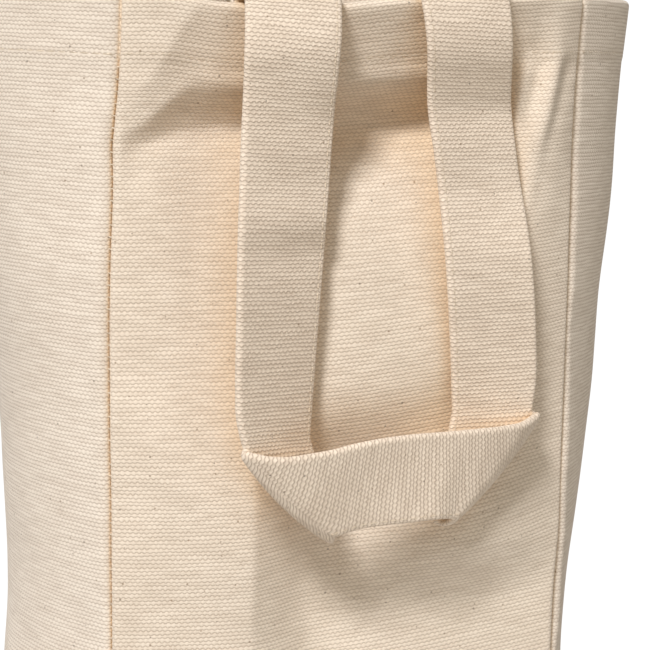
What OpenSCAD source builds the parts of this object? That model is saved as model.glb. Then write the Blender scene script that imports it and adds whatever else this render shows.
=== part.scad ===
// Bottle carrier: a gusseted bag of heavy unbleached canvas for one bottle, with two handles of
// the same cloth sewn inside the rim and folded over it, so that they hang down outside.
// Millimetres, Z up, front of the bag towards -Y, origin in the middle of the underside.

/* [Bag] */
// Height from the underside to the fold of the rim
bag_h = 330; // [270:1:380]
// Flat width of the front and back panels, seam to seam
panel_w = 127; // [118:1:145]
// Flat width of the side panels, seam to seam
side_w = 100; // [94:1:120]
// Thickness of the canvas
cloth_t = 1; // [0.7:0.1:1.4]

/* [Fullness] */
// How far a side panel bows out at the rim
side_bow_rim = 30; // [16:1:32]
// How far a side panel bows out at the waist
side_bow_waist = 17; // [8:1:22]
// How far a side panel bows out at the belly, below the waist
side_bow_belly = 19; // [8:1:24]
// How far the front and back panels bow out at the rim
front_bow_rim = 12; // [6:1:14]
// How far the front and back panels bow out at the waist
front_bow_waist = 7; // [4:1:12]
// How far the front and back panels bow out at the belly
front_bow_belly = 9; // [4:1:12]
// Height of the waist above the underside
waist_z = 165; // [140:1:190]
// Height of the belly above the underside
belly_z = 75; // [60:1:100]

/* [Hem and seams] */
// Depth of the hem that is turned in at the rim
hem_h = 16.5; // [12:0.5:22]
// Thickness of the turned hem, cloth and raw edge
hem_t = 1.6; // [1.2:0.1:2.2]
// Width of the allowance inside each corner seam
seam_w = 8; // [5:0.5:9]
// Thickness of a corner seam, two cloths and their edging
seam_t = 2; // [1.6:0.1:2.6]
// Height of the allowance round the base panel
base_seam_h = 7; // [5:0.5:9]

/* [Handles] */
// Width of the handle strap
strap_w = 25.4; // [22:0.1:28]
// Thickness of the strap, four layers of cloth
strap_t = 2.2; // [1.8:0.1:2.8]
// Gap between the two legs of a handle at the rim
strap_gap = 20; // [18:0.5:26]
// Drop of a hanging handle from the rim to its folded ears
handle_drop = 135; // [120:1:150]
// How much each leg spreads outwards on its way to the grip
leg_spread = 9; // [6:0.5:12]
// How far the outer edges of the legs stand forward at the grip
edge_lean = 10; // [9:0.5:12]
// How much further forward the left edge stands than that, and the right edge less
grip_turn = 5.5; // [0:0.5:6]
// How far the hanging grip lies off to the right of the straps' middle
grip_sway = 5; // [0:0.5:6]
// How far the right end of the grip is lifted, and the left end let down
grip_tilt = 2.5; // [0:0.5:4]
// How far the inner edge of a leg stands forward at the grip
inner_lean = 4.5; // [4:0.5:6]
// How far the upper edge of the grip reaches forward of the rim
grip_reach = 27; // [25:0.5:31]
// How far the lower edge of the grip reaches forward of the rim
grip_foot = 19; // [17:0.5:22]
// How far forward the ears of the grip lie
ear_lean = 7; // [6:0.5:9]
// Bend radius of the strap where it folds over at the grip
fold_r = 2.6; // [2.4:0.1:3.2]

/* [Hidden] */

// Colours of the raw cotton, lit and shaded
CANVAS = [0.9, 0.83, 0.72];
CANVAS_SIDE = [0.86, 0.78, 0.66];
CANVAS_STRAP = [0.92, 0.86, 0.76];
CANVAS_EDGE = [0.8, 0.71, 0.58];

// Running gap that keeps two sewn pieces from sharing a face
fit_gap = 0.15;
// Gap between the rim and the strap that is folded over it
hang_gap = 0.4;
// Gap between the turning fold of a handle and its sewn end
fold_gap = 0.3;

// Shares that shape the cross-section and the foot of the bag
FRONT_POWER_share = 3;
SIDE_POWER_share = 2;
foot_share = 0.55;
level_share = 1.35;

// Counts of facets
side_steps = 14;
levels = 22;
leg_steps = 8;
fan_steps = 3;
fold_steps = 7;
grip_steps = 8;
end_steps = 5;

// Angle that the strap is folded through at the grip
fold_turn = 148;
// Where along the upper edge of the grip the fan at the ear ends
fan_share = 0.5;
// How the outer edge of a leg gains its lean on the way down
lean_share = 1.6;
// Part of the strap's half width that its rolled edge takes
roll_share = 0.07;
// Thickness of a leg where it runs into the roll that it turns on, as a share of the strap's
root_share = 0.75;
// How far the two edges of the grip run straight across its middle, in strap widths
EDGE_PULL_share = 0.75;
FOOT_PULL_share = 0.35;

// Eased value between two stations
function eased(a, b, s) = a + (b - a) * (1 - cos(180 * s)) / 2;

// Bow of a panel at height z, from its bows at the belly, the waist and the rim
function bow(z, belly, waist, rim) =
    z <= 0 ? 0
    : z < belly_z ? belly * pow(sin(90 * z / belly_z), foot_share)
    : z < waist_z ? eased(belly, waist, (z - belly_z) / (waist_z - belly_z))
    : eased(waist, rim, min(1, (z - waist_z) / (bag_h - waist_z)));

function front_bow(z) = bow(z, front_bow_belly, front_bow_waist, front_bow_rim);
function side_bow(z) = bow(z, side_bow_belly, side_bow_waist, side_bow_rim);

// Half the chord of a cloth of flat width w that bows out by b: the arc keeps its length
function half_chord(w, b) = (w - 8 * b * b / (3 * w)) / 2;
function corner_x(z) = half_chord(panel_w, front_bow(z));
function corner_y(z) = half_chord(side_w, side_bow(z));

// The four sides in turn: 0 front, 1 right, 2 back, 3 left.
// Each side is drawn in its own frame: along the panel, and outwards.
function along_half(side, z) = side % 2 == 0 ? corner_x(z) : corner_y(z);
function chord_out(side, z) = side % 2 == 0 ? corner_y(z) : corner_x(z);
function side_bow_of(side, z) = side % 2 == 0 ? front_bow(z) : side_bow(z);
function power_of(side) = side % 2 == 0 ? FRONT_POWER_share : SIDE_POWER_share;

function unit(v) = v / norm(v);

// Outward normal of a side at u, from -1 at one seam to 1 at the next
function side_normal(side, u, z) =
    unit([
        side_bow_of(side, z) * power_of(side) * pow(abs(u), power_of(side) - 1) * sign(u)
            / along_half(side, z),
        1
    ]);

// Direction that both cloths of a corner are set in by, at the end of a side
function corner_mitre(side, u, z) =
    let (
        own = side_normal(side, u, z),
        next = side_normal(side + 1, -u, z),
        other = [u * next[1], -u * next[0]]
    )
    (own + other) / (1 + own * other);

// Point of a side in its own frame, set in from the outer face by d
function side_point(side, u, z, d) =
    [along_half(side, z) * u,
        chord_out(side, z) + side_bow_of(side, z) * (1 - pow(abs(u), power_of(side)))]
    - d * (abs(u) == 1 ? corner_mitre(side, u, z) : side_normal(side, u, z));

// Turns a point of a side's frame to the bag's frame
function placed(side, p, z) =
    side == 0 ? [p[0], -p[1], z]
    : side == 1 ? [p[1], p[0], z]
    : side == 2 ? [-p[0], p[1], z]
    : [-p[1], -p[0], z];

// Row of points along one panel at height z, its ends drawn back from the seams by gap
function panel_row(side, z, d, gap) = [
    for (i = [0 : side_steps])
        let (u = 2 * i / side_steps - 1, back = abs(u) == 1 ? u * gap : 0)
            placed(side, side_point(side, u, z, d) - [back, 0], z)
];

// Closed row of points round all four panels
function round_row(z, d) = [
    for (side = [0 : 3], i = [0 : side_steps - 1])
        placed(side, side_point(side, 2 * i / side_steps - 1, z, d), z)
];

// Heights of the rows of a panel, closer together at the foot
function level_z(top) = [for (i = [0 : levels]) top * pow(i / levels, level_share)];

function flat(rows) = [for (row = rows) each row];

// Two triangles of a grid cell, first corner a, and b across from it
function cell(a, a_next, b_next, b) = [[a, a_next, b_next], [a, b_next, b]];

// Solid skinned over rows of equal length. A row is a loop of points that runs out along one face
// and back along the other, so each end of the solid is closed by a ladder of cells across it.
module loft(rows, closed = false) {
    n = len(rows[0]);
    m = len(rows);
    last = (m - 1) * n;
    skin = [
        for (j = [0 : closed ? m - 1 : m - 2], i = [0 : n - 1])
            let (k = (i + 1) % n, up = (j + 1) % m)
                each cell(j * n + i, up * n + i, up * n + k, j * n + k)
    ];
    caps = closed ? [] : [
        for (i = [0 : n / 2 - 2])
            each concat(
                cell(i, i + 1, n - 2 - i, n - 1 - i),
                cell(last + n - 1 - i, last + n - 2 - i, last + i + 1, last + i)
            )
    ];
    polyhedron(points = flat(rows), faces = concat(skin, caps), convexity = 8);
}

// One wall of the bag: a cloth that bows out between its two corner seams
module wall_panel(side) {
    top = bag_h - cloth_t - fit_gap;
    heights = level_z(top);
    loft([
        for (z = heights)
            let (outer = panel_row(side, z, 0, fit_gap), inner = panel_row(side, z, cloth_t, fit_gap))
                concat(outer, [for (i = [side_steps : -1 : 0]) inner[i]])
    ]);
}

// Height where the corner seams start, clear of the allowance round the base
function seam_foot() = cloth_t + base_seam_h + 2 * fit_gap;

// Sewn allowance that stands inwards from the corner after a side
module corner_seam(side) {
    top = bag_h - hem_h - fit_gap;
    foot = seam_foot();
    loft([
        for (i = [0 : levels])
            let (
                z = foot + (top - foot) * i / levels,
                mitre = corner_mitre(side, 1, z),
                corner = side_point(side, 1, z, cloth_t + fit_gap),
                inward = -unit(mitre),
                across = [-inward[1], inward[0]] * seam_t / 2,
                root = corner + inward * seam_t / 2,
                tip = root + inward * seam_w
            )
                [for (p = [root + across, tip + across, tip - across, root - across])
                    placed(side, p, z)]
    ]);
}

// Base cloth, which the bag stands on
module base_panel() {
    inset = cloth_t + fit_gap;
    color(CANVAS_SIDE)
        translate([inset - panel_w / 2, inset - side_w / 2, 0])
            cube([panel_w - 2 * inset, side_w - 2 * inset, cloth_t]);
}

// Allowance that stands up round the base panel, inside the walls
module base_seam() {
    foot = cloth_t + fit_gap;
    outer_x = corner_x(foot + base_seam_h) - cloth_t - fit_gap;
    outer_y = corner_y(foot + base_seam_h) - cloth_t - fit_gap;
    color(CANVAS_EDGE)
        translate([0, 0, foot])
            linear_extrude(base_seam_h)
                difference() {
                    square([2 * outer_x, 2 * outer_y], center = true);
                    square([2 * (outer_x - seam_t), 2 * (outer_y - seam_t)], center = true);
                }
}

// Set-in of the inner face of the hem from the outer face of the walls
function hem_in() = cloth_t + fit_gap + hem_t;

// Hem: it caps the walls at the rim and turns down inside them
module rim_hem() {
    under = bag_h - cloth_t;
    foot = bag_h - hem_h;
    color(CANVAS)
        loft([
            round_row(under, 0),
            round_row(bag_h - cloth_t / 2, 0),
            round_row(bag_h, cloth_t / 2),
            round_row(bag_h, hem_in() - cloth_t / 2),
            round_row(bag_h - cloth_t / 2, hem_in()),
            round_row(foot, hem_in()),
            round_row(foot, cloth_t + fit_gap),
            round_row(under, cloth_t + fit_gap)
        ], closed = true);
}

// Axis about which a handle turns: the fold of its strap over the rim
fold_radius = strap_t / 2;
hinge_out = corner_y(bag_h) + front_bow(bag_h) + hang_gap + fold_radius;
hinge_z = bag_h + hang_gap + fold_radius;

// Sewn end of a strap: up the inside of the hem, over the rim and up to the fold.
// from_x and to_x are where the strap starts and ends along the rim.
module handle_end(from_x, to_x) {
    face = hem_in() + fit_gap;
    bottom = bag_h - hem_h + strap_t;
    low = bag_h + hang_gap;
    high = low + strap_t;
    tip = hinge_out - fold_radius - fold_gap;
    bevel = strap_t / 3;
    color(CANVAS_STRAP)
        loft([
            for (i = [0 : end_steps])
                let (
                    x = from_x + (to_x - from_x) * i / end_steps,
                    u = x / corner_x(bag_h),
                    near = side_point(0, u, bag_h, face)[1],
                    far = side_point(0, u, bag_h, face + strap_t)[1]
                )
                    [
                        [x, -far, bottom], [x, -far, high - bevel], [x, -far - bevel, high],
                        [x, -tip, high], [x, -tip, low], [x, -near - hang_gap, low],
                        [x, -near, low - hang_gap], [x, -near, bottom]
                    ]
        ]);
}

// Handle strap. Its places are [across, forward of the hinge, above the hinge], and its two halves
// are the sides -1, left, and 1, right, as one looks at the front.
// A leg runs from share 0 at the hinge to share 1 at the outer corner of the grip.
fold_line = strap_w * sqrt(2);
leg_in_x = strap_gap / 2 + leg_spread;
ear_in = strap_w / 50;

function lean(side) = edge_lean - side * grip_turn;
function leg_width(side) = sqrt(pow(strap_w, 2) - pow(lean(side) - inner_lean, 2));
function mitre_drop(side) =
    sqrt(pow(fold_line, 2) - pow(leg_width(side) + ear_in, 2) - pow(lean(side) - ear_lean, 2));
function leg_drop(side) = handle_drop - fold_radius - mitre_drop(side) - side * grip_tilt;

function inner_edge(side, s) =
    [side * (strap_gap / 2 + leg_spread * s) + grip_sway * s, inner_lean * s, -leg_drop(side) * s];
function outer_edge(side, s) =
    let (
        inner = inner_edge(side, s),
        forward = lean(side) * pow(s, lean_share),
        width = sqrt(pow(strap_w, 2) - pow(forward - inner[1], 2))
    )
    [inner[0] + side * width, forward, inner[2]];

function corner(side) = outer_edge(side, 1);
function ear(side) =
    [side * (leg_in_x - ear_in) + grip_sway, ear_lean, -leg_drop(side) - mitre_drop(side)];

// Frame of the diagonal fold: along it, down and out across it, and forward off it
function fold_along(side) = unit(ear(side) - corner(side));
function fold_down(side) = let (along = fold_along(side)) unit([0, 0, -1] + along * along[2]);
function fold_front(side) =
    let (front = cross(fold_down(side), fold_along(side))) front * sign(front[1]);

function fold_shift(side, turn) =
    fold_r * (sin(turn) * fold_down(side) + (1 - cos(turn)) * fold_front(side));

// Quadratic curve through a and c, drawn towards b
function curve(a, b, c, s) = a * pow(1 - s, 2) + b * 2 * s * (1 - s) + c * s * s;

// Middle of the grip, and its two edges from a fold, share 0, to the middle, share 1
function folded(side, p) = p + fold_shift(side, fold_turn);
grip_z = (folded(-1, corner(-1)) + folded(1, corner(1)))[2] / 2;
grip_foot_z = grip_z - sqrt(pow(strap_w, 2) - pow(grip_reach - grip_foot, 2));
rise_share = 2 * grip_tilt / (corner(1) - corner(-1))[0];

function grip_curve(side, from, pull, forward, up, s) =
    let (mid = [grip_sway, forward, up])
    curve(from, mid + side * pull * [1, 0, rise_share], mid, s);
function grip_edge(side, s) =
    grip_curve(side, folded(side, corner(side)), strap_w * EDGE_PULL_share, grip_reach, grip_z, s);
function grip_lower(side, s) =
    grip_curve(side, folded(side, ear(side)), strap_w * FOOT_PULL_share, grip_foot, grip_foot_z, s);

// Rulings of one half of the strap, from the hinge to the middle, each [outer edge, inner edge]
function half_rulings(side) = concat(
    [for (i = [0 : leg_steps])
        [outer_edge(side, i / leg_steps), inner_edge(side, i / leg_steps)]],
    [for (i = [1 : fan_steps - 1])
        [corner(side), inner_edge(side, 1) + (ear(side) - inner_edge(side, 1)) * i / fan_steps]],
    [for (i = [0 : fold_steps])
        let (shift = fold_shift(side, fold_turn * i / fold_steps))
            [corner(side) + shift, ear(side) + shift]],
    [for (i = [1 : grip_steps])
        let (s = i / grip_steps)
            [grip_edge(side, s), grip_lower(side, max(0, (s - fan_share) / (1 - fan_share)))]]
);

left_half = half_rulings(-1);
right_half = half_rulings(1);
rulings = concat(left_half, [for (i = [len(right_half) - 2 : -1 : 0]) right_half[i]]);

function middle(r) = (r[0] + r[1]) / 2;

// Face normal of the strap at ruling k, from the rulings beside it
function strap_normal(k) =
    let (
        before = middle(rulings[max(0, k - 1)]),
        after = middle(rulings[min(len(rulings) - 1, k + 1)])
    )
    unit(cross(after - before, rulings[k][1] - rulings[k][0]));

// Section of the strap at ruling k, with its two edges rolled
function strap_section(k) =
    let (
        outer = rulings[k][0],
        inner = rulings[k][1],
        edge = (inner - outer) * roll_share / 2,
        root = k == 0 || k == len(rulings) - 1,
        thick = strap_normal(k) * strap_t / 2 * (root ? root_share : 1),
        ring = [outer, outer + edge + thick, inner - edge + thick, inner,
            inner - edge - thick, outer + edge - thick]
    )
    [for (p = ring) [p[0], -hinge_out - p[1], hinge_z + p[2]]];

// The whole strap of a handle, and the two rolls on which it turns at the rim
module handle() {
    color(CANVAS_STRAP) {
        loft([for (k = [0 : len(rulings) - 1]) strap_section(k)]);
        for (from_x = [-strap_gap / 2 - strap_w, strap_gap / 2])
            translate([from_x, -hinge_out, hinge_z])
                rotate([0, 90, 0])
                    cylinder(h = strap_w, r = fold_radius, $fn = 32);
    }
}

module front_panel() { color(CANVAS) wall_panel(0); }
module right_side_panel() { color(CANVAS_SIDE) wall_panel(1); }
module back_panel() { color(CANVAS) wall_panel(2); }
module left_side_panel() { color(CANVAS_SIDE) wall_panel(3); }

module front_right_seam() { color(CANVAS_EDGE) corner_seam(0); }
module back_right_seam() { color(CANVAS_EDGE) corner_seam(1); }
module back_left_seam() { color(CANVAS_EDGE) corner_seam(2); }
module front_left_seam() { color(CANVAS_EDGE) corner_seam(3); }

module front_left_handle_end() { handle_end(-strap_gap / 2 - strap_w, -strap_gap / 2); }
module front_right_handle_end() { handle_end(strap_gap / 2, strap_gap / 2 + strap_w); }
module back_left_handle_end() { rotate([0, 0, 180]) front_right_handle_end(); }
module back_right_handle_end() { rotate([0, 0, 180]) front_left_handle_end(); }

module front_handle() { handle(); }
module back_handle() { rotate([0, 0, 180]) handle(); }

front_panel();
back_panel();
left_side_panel();
right_side_panel();
base_panel();
base_seam();
front_left_seam();
front_right_seam();
back_right_seam();
back_left_seam();
rim_hem();
front_left_handle_end();
front_right_handle_end();
back_left_handle_end();
back_right_handle_end();
front_handle();
back_handle();
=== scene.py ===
import math

import bpy
import numpy as np
from mathutils import Matrix, Vector


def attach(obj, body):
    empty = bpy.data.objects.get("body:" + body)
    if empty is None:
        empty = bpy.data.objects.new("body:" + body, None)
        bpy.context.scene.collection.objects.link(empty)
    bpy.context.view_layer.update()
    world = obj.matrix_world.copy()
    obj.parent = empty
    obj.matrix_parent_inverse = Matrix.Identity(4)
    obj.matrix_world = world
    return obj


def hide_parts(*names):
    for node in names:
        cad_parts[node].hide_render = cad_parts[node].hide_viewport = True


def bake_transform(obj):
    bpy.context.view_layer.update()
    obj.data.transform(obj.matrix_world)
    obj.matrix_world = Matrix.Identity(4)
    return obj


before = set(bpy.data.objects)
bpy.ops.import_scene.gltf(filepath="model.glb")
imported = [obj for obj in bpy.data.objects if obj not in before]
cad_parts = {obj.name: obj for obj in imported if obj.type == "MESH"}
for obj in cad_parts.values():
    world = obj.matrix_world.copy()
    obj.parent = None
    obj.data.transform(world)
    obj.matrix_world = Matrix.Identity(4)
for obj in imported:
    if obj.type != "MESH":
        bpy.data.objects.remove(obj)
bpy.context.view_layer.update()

# The bag is worked out in millimetres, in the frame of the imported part, and put down in metres.
MM = 0.001

# Sizes of the part's source that the cloth follows
BAG_H = 330.0
PANEL_W = 127.0
SIDE_W = 100.0
CLOTH_T = 1.0
WAIST_Z = 165.0
BELLY_Z = 75.0
SIDE_BOWS = (19.0, 17.0, 30.0)
FRONT_BOWS = (9.0, 7.0, 12.0)
HEM_FOOT = BAG_H - 16.5
SEAM_W = 8.0
BASE_SEAM_H = 7.0
STRAP_W = 25.4
STRAP_T = 2.2
HINGE_OUT = 51.5
HINGE_Z = 331.5

# What only the looks need
FOLD_R = 1.6           # outer radius of a wall where it turns in to a corner seam
ROLL_R = 1.62          # outer radius of the rim where the hem turns over
RIM_Z = BAG_H - ROLL_R
HEM_PROUD = 0.25       # how far the stiff hem stands out of the wall below it
HEM_IN = 2 * ROLL_R    # how far inside the wall's outer face the turned hem's inner face lies
STITCH_Z = HEM_FOOT + 1.8
FIN_DEEP = SEAM_W - 1.3
BASE_SEAM_FOOT = 1.2
BASE_SEAM_TOP = BASE_SEAM_FOOT + BASE_SEAM_H
TOPSTITCH_IN = 1.5     # distance of a strap's stitching from its inner edge


# Curves and noise

def eased(a, b, s):
    return a + (b - a) * (1 - np.cos(np.pi * np.clip(s, 0, 1))) / 2


def risen(v, start, run):
    """Smooth step from 0 to 1 that begins at a start and takes a run."""
    return eased(0, 1, (v - start) / run)


def bell(v, middle, wide):
    return np.exp(-((v - middle) / wide) ** 2)


def unit(v):
    return v / np.maximum(np.linalg.norm(v, axis=-1, keepdims=True), 1e-9)


def left_of(v):
    """Level directions, turned a quarter to the left."""
    return np.stack([-v[..., 1], v[..., 0]], -1)


def pairs(a, b):
    return np.stack(np.broadcast_arrays(a, b), -1)


def arc_length(points, axis):
    step = np.linalg.norm(np.diff(points, axis=axis), axis=-1)
    zero = np.zeros_like(np.take(step, [0], axis=axis))
    return np.concatenate([zero, np.cumsum(step, axis=axis)], axis=axis)


def line_length(points):
    return arc_length(np.asarray(points)[None], 1)[0]


def closed(loop):
    return np.concatenate([loop, loop[:1]])


def at_height(level, z=0.0):
    """Points or directions in space, from level ones and their heights."""
    z = np.asarray(z, float)
    return np.concatenate([level, np.broadcast_to(z[..., None], level.shape[:-1] + (1,))], -1)


def drawn_through(x, table):
    """Smooth curve through (place, value, ...) rows, one column of values or several."""
    table = np.asarray(table, float)
    place, value = table[:, 0], table[:, 1:]
    slope = np.gradient(value, place, axis=0)
    x = np.clip(np.asarray(x, float), place[0], place[-1])
    k = np.clip(np.searchsorted(place, x) - 1, 0, len(place) - 2)
    h = (place[k + 1] - place[k])[..., None]
    t = (x - place[k])[..., None] / h
    out = ((1 + 2 * t) * (1 - t) ** 2 * value[k] + t * (1 - t) ** 2 * h * slope[k]
           + t * t * (3 - 2 * t) * value[k + 1] + t * t * (t - 1) * h * slope[k + 1])
    return out[..., 0] if out.shape[-1] == 1 else out


def ripple(x, z, seed, shortest, longest, height=1.0):
    """Soft random swell: a few crossed waves of the given lengths, about +-height."""
    random = np.random.default_rng(seed)
    total = 0.0
    for _ in range(7):
        length = random.uniform(shortest, longest)
        turn = random.uniform(0, np.pi)
        start = random.uniform(0, 6.3)
        total = total + np.sin(2 * np.pi * (x * np.cos(turn) + z * np.sin(turn)) / length + start)
    return height * total / 3


# Form of the bag, where u is a share across a wall from -1 to 1, x the same in mm, and z a height

def bow(z, bows):
    """How far a wall bows out at heights z, from its bows at the belly, the waist and the rim."""
    belly, waist, rim = bows
    low = belly * np.sin(np.pi / 2 * np.clip(z / BELLY_Z, 0, 1)) ** 0.55
    middle = eased(belly, waist, (z - BELLY_Z) / (WAIST_Z - BELLY_Z))
    high = eased(waist, rim, (z - WAIST_Z) / (BAG_H - WAIST_Z))
    return np.where(z < BELLY_Z, low, np.where(z < WAIST_Z, middle, high))


def half_chord(width, rise):
    return (width - 8 * rise * rise / (3 * width)) / 2


# How the soft bag strays from its even form: height, left seam, right seam, right side's fullness
WANDER = [(0, 0, 0, 0), (60, 0, 0, 0), (130, 0.6, 0, -1.0), (160, 1.4, -0.3, -0.8), (175, 1.0, -0.5, 0.2),
          (190, 0.5, -0.2, 1.8), (205, 0.1, -0.3, 2.7), (220, -0.5, -0.3, 2.5), (235, -0.8, -0.3, 1.9),
          (250, -1.1, 0, 0.8), (265, -1.1, 0.1, 0.5), (280, -0.8, 0.3, 0), (295, -0.8, 0.3, -0.4),
          (310, 0.1, 0.9, -0.9), (330, 0.4, 2.0, -0.4)]


def corners(z):
    """The bag's four corners at heights z, in turn: front left, front right, back right, back left."""
    x = half_chord(PANEL_W, bow(z, FRONT_BOWS))
    y = half_chord(SIDE_W, bow(z, SIDE_BOWS))
    stray = drawn_through(z, WANDER)
    return [np.stack(p, -1) for p in ((stray[:, 0] - x, -y), (x + stray[:, 1], -y), (x, y), (-x, y))]


def wall_ends(side, z):
    """Where a wall starts and ends at heights z."""
    ends = corners(z)
    return ends[side], ends[(side + 1) % 4]


def crown(u, peak, left_power, right_power):
    """Height across a bowed wall, 1 at its peak and 0 at both seams."""
    right = np.clip((u - peak) / (1 - peak), 0, 1)
    left = np.clip((peak - u) / (1 + peak), 0, 1)
    return 1 - left ** left_power - right ** right_power


# How far a wall sinks back below its rim: distance below the rim, share of the depth
HOLLOW = [(0, 0), (5, 0.11), (10, 0.22), (16, 0.34), (22.3, 0.45), (26, 0.66), (30, 0.88), (33, 0.98),
          (34.5, 1), (36.5, 0.95), (42, 0.72), (50, 0.48), (62, 0.24), (80, 0.08), (100, 0.01), (115, 0),
          (160, 0)]
# Share of the hollow's depth across the front
HOLLOW_REACH = [(-64, 0), (-61, 0.03), (-57, 0.18), (-52, 0.36), (-47, 0.54), (-42, 0.72), (-36, 0.9),
                (-30, 1), (33, 1), (37, 0.85), (41, 0.5), (45, 0.15), (48, 0), (64, 0)]
# The same beyond the right strap, where only the hem leans in
HEM_LEAN = [(0, 0), (5, 0.25), (10, 0.54), (16, 0.97), (18, 1), (21, 0.86), (26, 0.6), (36, 0.25), (52, 0),
            (90, 0)]


def hollow(x, z, depth):
    """Hollow that the wall sinks into behind its rim, running out slantwise and lower at its left end."""
    full = risen(x, -60, 20)
    down, top, floor = BAG_H + 1 - z, 26 * (1 - full), 35 + 4 * (1 - full)
    place = np.where(down < floor, 35 * (down - top) / (floor - top),
                     35 + (down - floor) * (2.4 - 1.4 * full))
    reach = drawn_through(np.clip(x, -64, 64), HOLLOW_REACH)
    return -depth * drawn_through(np.clip(place, 0, 160), HOLLOW) * reach


def soft_fold(x, ridge, height, wide, crease, depth, left, right):
    """A ridge of some height and width, and a crease of some depth with a width on either side."""
    away = x - crease
    return height * bell(x, ridge, wide) - depth * bell(away, 0, np.where(away < 0, left, right))


def front_creases(x, z):
    """Soft folds of the front beyond the right strap, running down and inwards from the hem."""
    line = 41.5 + 0.21 * (z - 279)
    beside = soft_fold(x, line - 3.0, 1.1, 2.5, line + 1.6, 0.9, 2.4, 4.0)
    line = 54.5 + 0.2 * (z - 300)
    beyond = soft_fold(x, line - 4.2, 1.5, 3.0, line, 1.1, 1.9, 3.2)
    return (beside + beyond * eased(0.3, 1, (z - 284) / 15)) * risen(z, 268, 14) * (1 - risen(z, 309, 8))


def front_swell(u, x, z):
    high = risen(z, 205, 40)
    # below the grip the cloth falls back from an upright ridge, sharp at the grip and softer further down
    soft = risen(x, -27, 25)
    sharp = (1 - (1 - np.clip((x + 26.5) / 26, 0, 1)) ** 2.1) * risen(x, -28, 4)
    step = soft + (sharp - soft) * risen(z, 138, 44)
    step = step * (1 - risen(z, 199, 33)) * risen(z, 100, 60)
    swell = bow(z, FRONT_BOWS) * crown(u, 0.5 * high - 0.38, 1.9, 2.4 + 0.8 * high) * (1 - 0.85 * step)
    swell += hollow(x, z, 13.6)
    beyond = risen(x, 33, 8) * (1 - risen(x, 46, 9))
    swell -= 3.6 * beyond * drawn_through(np.clip(BAG_H + 1 - z, 0, 90), HEM_LEAN)
    # behind the grip's right end it stands out, and left of that it dips
    held_out = risen(z, 170, 20) * (1 - risen(z, 196, 32))
    swell += 9.0 * held_out * risen(x, -1, 33) * (1 - np.clip((x - 32) / 30, 0, 1) ** 1.4)
    swell -= 3.8 * bell(x, -8, np.where(x < -8, 9, 26)) * bell(z, 187, np.where(z < 187, 45, 18))
    return swell + front_creases(x, z)


def back_swell(u, x, z):
    return bow(z, FRONT_BOWS) * crown(u, 0.1, 2.4, 2.4) + hollow(x, z, 6.0)


def side_swell(u, x, z, stray=0.0):
    """Swell of a side wall, which is the same at every x of one share u."""
    return (bow(z, SIDE_BOWS) + stray) * crown(u, 0, 2, 2)


def right_swell(u, x, z):
    return side_swell(u, x, z, drawn_through(z, WANDER)[..., 2])


SWELLS = [front_swell, right_swell, back_swell, side_swell]
# Of each wall: seed, shortest and longest wave, height of the long ripples and of the short ones
RIPPLES = [(11, 34, 80, 0.35, 0.06), (21, 36, 90, 0.45, 0.08), (31, 34, 80, 0.4, 0.06),
           (41, 36, 90, 0.5, 0.08)]


def wall_line(side, z, u):
    """Points of a wall's outer face at heights z and shares u from -1 to 1 across it, without the folds."""
    start, end = wall_ends(side, z)
    half = np.linalg.norm(end - start, axis=1)[:, None] / 2
    along = (end - start) / (2 * half)
    u = np.broadcast_to(u, (len(z), np.shape(u)[-1]))
    x, zz = u * half, np.broadcast_to(z[:, None], u.shape)
    seed, shortest, longest, height, short_height = RIPPLES[side]
    rise = (SWELLS[side](u, x, zz) + ripple(x, zz, seed, shortest, longest, height)
            + ripple(x, zz, seed + 1, 14, 26, short_height))
    seam = (1 - np.abs(u)) * half
    near = np.clip(seam / 6, 0, 1)
    rise = rise + HEM_PROUD * risen(zz, HEM_FOOT - 0.8, 2.2) * near - 0.1 * bell(zz, STITCH_Z, 0.5) * near
    pucker = np.sin(2 * np.pi * zz / 5.3 + 2 * np.sin(zz / 9 + side)) * np.exp(-seam / 3.2)
    rise = rise * np.where(seam < 1e-6, 0, 1) + 0.16 * pucker * np.clip(seam / 1.5, 0, 1)
    return start[:, None] + along[:, None] * (x + half)[..., None] - left_of(along)[:, None] * rise[..., None]


MAIN_COLUMNS = 110
ARC_COLUMNS = 8


def seam_mitre(corner, z):
    """Inward direction of the seam at a corner, and the walls' directions into it."""
    into, out = (unit(np.diff(wall_line(side % 4, z, np.array(shares)), axis=1)[:, 0])
                 for side, shares in ((corner - 1, (0.94, 0.985)), (corner, (-0.94, -0.985))))
    return unit(left_of(into) - left_of(out)), into, out


def fold_back(toward, mitre):
    """Angle between a wall and its seam, and how far the fold between them reaches back."""
    angle = np.arccos(np.clip(np.sum(-toward * mitre, -1), -1, 1))
    return angle, (FOLD_R / np.tan(angle / 2))[:, None]


def folded_end(corner, toward, mitre, inward, run):
    """Points where a wall turns in to its seam, with the way each is drawn in where the cloth rolls over."""
    angle, back = fold_back(toward, mitre)
    turn = (np.pi - angle)[:, None] * np.linspace(0, 1, ARC_COLUMNS)[None, :]
    points = ((corner - toward * back)[:, None] + FOLD_R * np.sin(turn)[..., None] * toward[:, None]
              + FOLD_R * (1 - np.cos(turn))[..., None] * inward[:, None])
    share = np.linspace(0, 1, ARC_COLUMNS)[None, :, None]
    drawn = unit(inward[:, None] * (1 - share) + mitre[:, None] * share)
    tail = points[:, -1:] + mitre[:, None] * run[:, None, None]
    return np.concatenate([points, tail], 1), np.concatenate([drawn, drawn[:, -1:]], 1), back


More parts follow.
